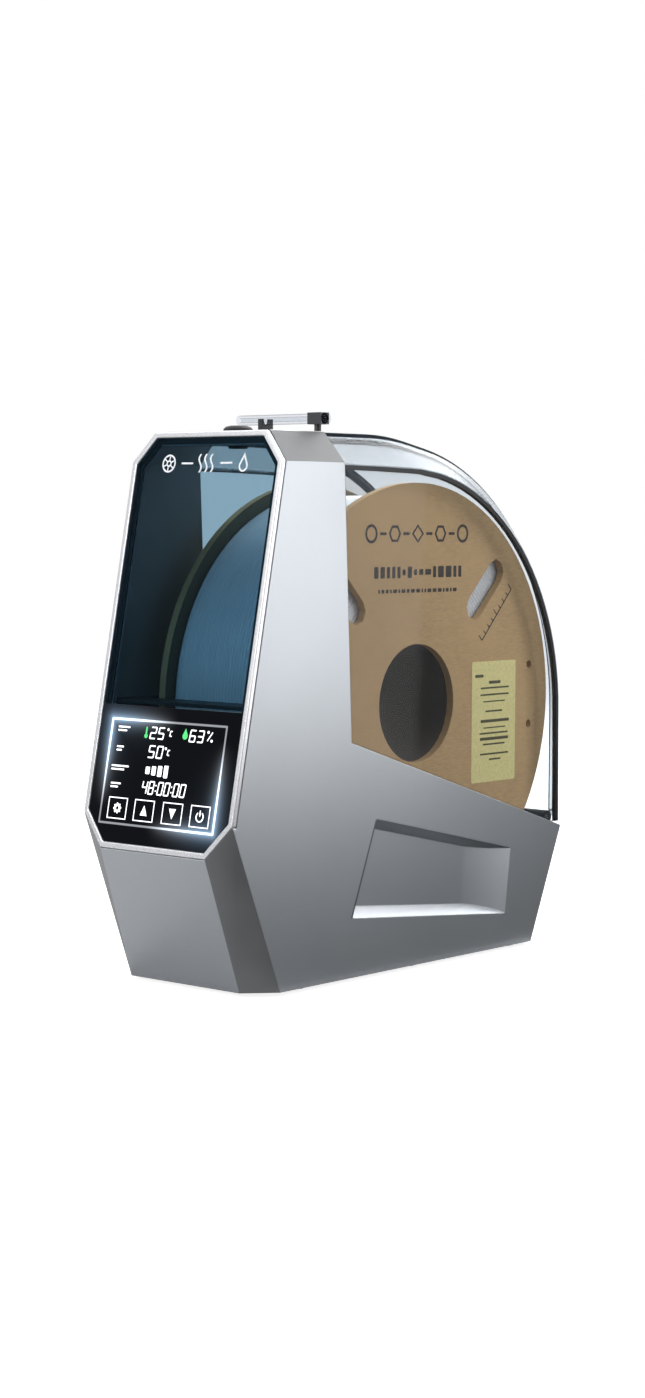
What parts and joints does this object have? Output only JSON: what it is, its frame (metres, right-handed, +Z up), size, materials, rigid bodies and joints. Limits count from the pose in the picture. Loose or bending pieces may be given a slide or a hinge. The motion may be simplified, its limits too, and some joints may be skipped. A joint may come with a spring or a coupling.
{
  "type": "filament dryer box",
  "caption": "Desktop dryer box for spooled filament: leaning window and touch display, hinged clear lid, roller cradle, heater and fan.",
  "frame": {"origin": "on the table, under the middle of the overall box", "axes": "+Z up, front (window and display) faces -Y, +X across the box to the right seen from the front"},
  "size_m": [0.088, 0.2465, 0.2486],
  "materials": {
    "casing_paint": "satin metallic silver-grey paint",
    "bezel_silver": "smooth light silver",
    "tinted_window": "blue-tinted gloss",
    "black_glass": "black gloss",
    "black_plastic": "fine matt",
    "clear_plastic": "clear gloss",
    "dark_seal": "smooth",
    "display_grey": "matt",
    "board_green": "satin",
    "sensor_white": "matt",
    "sheet_metal": "plain sheet",
    "steel": "polished",
    "contact_metal": "plated",
    "rubber_black": "matt",
    "roller_rubber": "matt",
    "card": "pressed brown card",
    "core_card": "pressed brown card",
    "filament": "wound plastic strand",
    "guide_tube": "translucent"
  },
  "bodies": {
    "casing": {"outer_casing": "casing_paint", "front_bezel": "bezel_silver", "front_window": "tinted_window", "touch_panel": "black_glass", "window_mask": "black_plastic", "inner_tub": "black_plastic", "bottom_cover": "black_plastic", "hinge_sill": "black_plastic", "tube_clamp": "black_plastic", "tube_clip": "black_plastic", "fan_frame": "black_plastic", "power_inlet": "black_plastic", "outlet_bushing": "black_plastic", "display_module": "display_grey", "control_board": "board_green", "power_board": "board_green", "humidity_sensor": "sensor_white", "heater_duct": "sheet_metal", "heater_core": "sheet_metal", "front_axle": "steel", "rear_axle": "steel", "hinge_pin": "steel", "screw_1": "steel", "screw_2": "steel", "screw_3": "steel", "screw_4": "steel", "screw_5": "steel", "screw_6": "steel", "inlet_pin_1": "contact_metal", "inlet_pin_2": "contact_metal", "foot_1": "rubber_black", "foot_2": "rubber_black", "foot_3": "rubber_black", "foot_4": "rubber_black", "guide_tube": "guide_tube"},
    "lid": {"lid_shell": "clear_plastic", "lid_side_left": "clear_plastic", "lid_side_right": "clear_plastic", "lid_trim_left": "dark_seal", "lid_trim_right": "dark_seal", "lid_hinge_leaf": "black_plastic"},
    "spool": {"spool_flange_left": "card", "spool_flange_right": "card", "spool_core": "core_card", "filament_winding": "filament"},
    "fan": {"fan_rotor": "black_plastic"},
    "plug": {"outlet_plug": "rubber_black"},
    "roller_front_left": {"roller_front_left": "roller_rubber"},
    "roller_front_right": {"roller_front_right": "roller_rubber"},
    "roller_rear_left": {"roller_rear_left": "roller_rubber"},
    "roller_rear_right": {"roller_rear_right": "roller_rubber"}
  },
  "joints": [
    {"name": "lid_hinge", "type": "hinge", "parent": "casing", "child": "lid", "pos_m": [0, 0.12004, 0.058], "axis": [-1, 0, 0], "range_deg": [0, 100]},
    {"name": "spool_spin", "type": "hinge", "parent": "casing", "child": "spool", "pos_m": [0, 0.01503, 0.1192], "axis": [1, 0, 0], "continuous": true},
    {"name": "fan_spin", "type": "hinge", "parent": "casing", "child": "fan", "pos_m": [-0.0244, -0.08686, 0.022], "axis": [1, 0, 0], "continuous": true},
    {"name": "plug_pull", "type": "slide", "parent": "casing", "child": "plug", "axis": [0, 0, 1], "range_m": [0, 0.02]},
    {"name": "front_left_roller_spin", "type": "hinge", "parent": "casing", "child": "roller_front_left", "pos_m": [-0.0309, -0.04797, 0.03111], "axis": [1, 0, 0], "continuous": true},
    {"name": "front_right_roller_spin", "type": "hinge", "parent": "casing", "child": "roller_front_right", "pos_m": [0.0309, -0.04797, 0.03111], "axis": [1, 0, 0], "continuous": true},
    {"name": "rear_left_roller_spin", "type": "hinge", "parent": "casing", "child": "roller_rear_left", "pos_m": [-0.0309, 0.07803, 0.03111], "axis": [1, 0, 0], "continuous": true},
    {"name": "rear_right_roller_spin", "type": "hinge", "parent": "casing", "child": "roller_rear_right", "pos_m": [0.0309, 0.07803, 0.03111], "axis": [1, 0, 0], "continuous": true}
  ],
  "couplings": [
    {"joint": "front_left_roller_spin", "follows": "spool_spin", "ratio": -12.5},
    {"joint": "front_right_roller_spin", "follows": "spool_spin", "ratio": -12.5},
    {"joint": "rear_left_roller_spin", "follows": "spool_spin", "ratio": -12.5},
    {"joint": "rear_right_roller_spin", "follows": "spool_spin", "ratio": -12.5}
  ]
}
